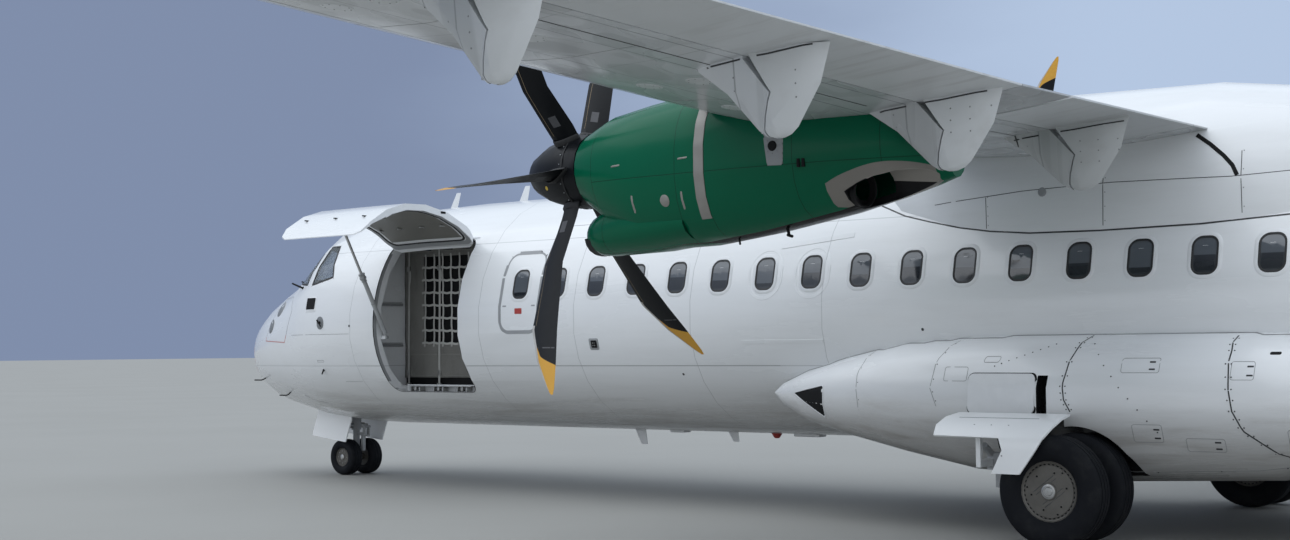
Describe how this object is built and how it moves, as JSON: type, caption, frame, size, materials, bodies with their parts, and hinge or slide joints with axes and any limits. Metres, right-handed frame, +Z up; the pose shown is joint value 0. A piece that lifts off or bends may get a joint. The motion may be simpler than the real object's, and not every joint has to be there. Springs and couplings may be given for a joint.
{
  "type": "twin-turboprop regional airliner",
  "caption": "High-wing twin-turboprop airliner with T-tail, side sponsons over its main gear, swept propeller blades, a raised forward cargo door and an airstair door.",
  "frame": {"origin": "on the ground under the middle of the bounding box, on the centre plane", "axes": "+X to the airliner's left, -Y out of the nose, +Z up"},
  "size_m": [27.05, 27.336, 7.65],
  "materials": {
    "white_paint": "gloss white paint",
    "white_alloy": "gloss white paint on aluminium skin",
    "white_composite": "gloss white paint on composite",
    "green_paint": "gloss green paint on composite",
    "cockpit_grey": "matte",
    "gear_steel": "satin",
    "wheel_metal": "satin, dusty",
    "engine_metal": "satin",
    "curtain_cloth": "matte woven",
    "black_blade": "satin black composite",
    "glass": "clear, tinted",
    "rubber": "matte"
  },
  "bodies": {
    "airframe": {"nose_section": "white_paint", "windscreen_left": "glass", "side_window_left": "glass", "windscreen_right": "glass", "side_window_right": "glass", "cockpit_fittings": "cockpit_grey", "forward_section": "white_paint", "emergency_exit_left": "white_paint", "emergency_exit_right": "white_paint", "cargo_curtain": "curtain_cloth", "wing": "white_alloy", "cabin_section": "white_alloy", "wing_fairing": "white_composite", "nacelle_left": "green_paint", "engine_left": "engine_metal", "nacelle_right": "green_paint", "engine_right": "engine_metal", "sponson_left": "white_composite", "sponson_right": "white_composite", "main_leg_left": "gear_steel", "main_leg_right": "gear_steel", "main_leg_door_left": "white_composite", "main_leg_door_right": "white_composite", "nose_leg": "gear_steel", "nose_gear_door_left": "white_composite", "nose_gear_door_right": "white_composite", "rear_section": "white_alloy", "service_door": "white_alloy", "tail_cone": "white_alloy", "tailplane": "white_composite", "fin": "white_composite"},
    "cargo_door": {"cargo_door": "white_paint"},
    "strut_rod": {"cargo_strut_rod": "gear_steel"},
    "strut_tube": {"cargo_strut_tube": "gear_steel"},
    "passenger_door": {"passenger_door": "white_paint"},
    "inner_flap_left": {"inner_flap_left": "white_composite"},
    "outer_flap_left": {"outer_flap_left": "white_composite"},
    "inner_flap_right": {"inner_flap_right": "white_composite"},
    "outer_flap_right": {"outer_flap_right": "white_composite"},
    "aileron_left": {"aileron_left": "white_composite"},
    "aileron_right": {"aileron_right": "white_composite"},
    "elevator_left": {"elevator_left": "white_composite"},
    "elevator_right": {"elevator_right": "white_composite"},
    "rudder": {"rudder": "white_composite"},
    "propeller_left": {"propeller_left": "black_blade"},
    "propeller_right": {"propeller_right": "black_blade"},
    "main_wheels_left": {"main_wheels_left": "wheel_metal", "main_tyre_outer_left": "rubber", "main_tyre_inner_left": "rubber"},
    "main_wheels_right": {"main_wheels_right": "wheel_metal", "main_tyre_outer_right": "rubber", "main_tyre_inner_right": "rubber"},
    "nose_fork": {"nose_fork": "gear_steel"},
    "nose_wheels": {"nose_wheels": "wheel_metal", "nose_tyre_left": "rubber", "nose_tyre_right": "rubber"}
  },
  "joints": [
    {"name": "cargo_door_hinge", "type": "hinge", "parent": "airframe", "child": "cargo_door", "pos_m": [1.08667, -9.048, 2.794], "axis": [0, 1, 0], "range_deg": [0, 89]},
    {"name": "strut_fold", "type": "hinge", "parent": "cargo_door", "child": "strut_rod", "pos_m": [1.96, -9.668, 3], "axis": [0, 1, 0], "range_deg": [0, 41]},
    {"name": "strut_slide", "type": "slide", "parent": "strut_rod", "child": "strut_tube", "axis": [0.469, 0, 0.8832], "range_m": [0, 0.61]},
    {"name": "passenger_door_hinge", "type": "hinge", "parent": "airframe", "child": "passenger_door", "pos_m": [0.98366, 7.317, 1.108], "axis": [0, 1, 0], "range_deg": [0, 120]},
    {"name": "inner_flap_left_hinge", "type": "hinge", "parent": "airframe", "child": "inner_flap_left", "pos_m": [2.45, -0.568, 2.767], "axis": [-1, 0, 0], "range_deg": [0, 35]},
    {"name": "outer_flap_left_hinge", "type": "hinge", "parent": "airframe", "child": "outer_flap_left", "pos_m": [6.2, -0.69077, 2.84047], "axis": [-0.9972, 0.0644, -0.0386], "range_deg": [0, 35]},
    {"name": "inner_flap_right_hinge", "type": "hinge", "parent": "airframe", "child": "inner_flap_right", "pos_m": [-2.45, -0.568, 2.767], "axis": [-1, 0, 0], "range_deg": [0, 35]},
    {"name": "outer_flap_right_hinge", "type": "hinge", "parent": "airframe", "child": "outer_flap_right", "pos_m": [-6.2, -0.69077, 2.84047], "axis": [-0.9972, -0.0644, 0.0386], "range_deg": [0, 35]},
    {"name": "aileron_left_hinge", "type": "hinge", "parent": "airframe", "child": "aileron_left", "pos_m": [9.762, -1.10007, 3.57356], "axis": [-0.9975, 0.0546, -0.0457], "range_deg": [-14, 14]},
    {"name": "aileron_right_hinge", "type": "hinge", "parent": "airframe", "child": "aileron_right", "pos_m": [-9.762, -1.10007, 3.57356], "axis": [-0.9975, -0.0546, 0.0457], "range_deg": [-14, 14]},
    {"name": "elevator_left_hinge", "type": "hinge", "parent": "airframe", "child": "elevator_left", "pos_m": [0.202, 12.8887, 7.48], "axis": [-0.9992, -0.0405, 0], "range_deg": [-23, 16]},
    {"name": "elevator_right_hinge", "type": "hinge", "parent": "airframe", "child": "elevator_right", "pos_m": [-0.202, 12.8887, 7.48], "axis": [-0.9992, 0.0405, 0], "range_deg": [-23, 16]},
    {"name": "rudder_hinge", "type": "hinge", "parent": "airframe", "child": "rudder", "pos_m": [0, 11.7675, 3.342], "axis": [0, 0.2399, 0.9708], "range_deg": [-27, 27]},
    {"name": "propeller_left_spin", "type": "hinge", "parent": "airframe", "child": "propeller_left", "pos_m": [4.05, -4.173, 3], "axis": [0, -1, 0], "continuous": true},
    {"name": "propeller_right_spin", "type": "hinge", "parent": "airframe", "child": "propeller_right", "pos_m": [-4.05, -4.173, 3], "axis": [0, -1, 0], "continuous": true},
    {"name": "main_wheels_left_roll", "type": "hinge", "parent": "airframe", "child": "main_wheels_left", "pos_m": [2.05, -0.913, 0.432], "axis": [1, 0, 0], "continuous": true},
    {"name": "main_wheels_right_roll", "type": "hinge", "parent": "airframe", "child": "main_wheels_right", "pos_m": [-2.05, -0.913, 0.432], "axis": [1, 0, 0], "continuous": true},
    {"name": "nose_steering", "type": "hinge", "parent": "airframe", "child": "nose_fork", "pos_m": [0, -11.683, 0.4], "axis": [0, 0, 1], "range_deg": [-60, 60]},
    {"name": "nose_wheels_roll", "type": "hinge", "parent": "nose_fork", "child": "nose_wheels", "pos_m": [0, -11.683, 0.225], "axis": [1, 0, 0], "continuous": true}
  ],
  "couplings": [
    {"joint": "strut_fold", "follows": "cargo_door_hinge", "ratio": 0.454},
    {"joint": "strut_slide", "follows": "cargo_door_hinge", "m_per_rad": 0.386},
    {"joint": "outer_flap_left_hinge", "follows": "inner_flap_left_hinge", "ratio": 1},
    {"joint": "inner_flap_right_hinge", "follows": "inner_flap_left_hinge", "ratio": 1},
    {"joint": "outer_flap_right_hinge", "follows": "inner_flap_left_hinge", "ratio": 1},
    {"joint": "aileron_right_hinge", "follows": "aileron_left_hinge", "ratio": -1},
    {"joint": "elevator_right_hinge", "follows": "elevator_left_hinge", "ratio": 1}
  ]
}
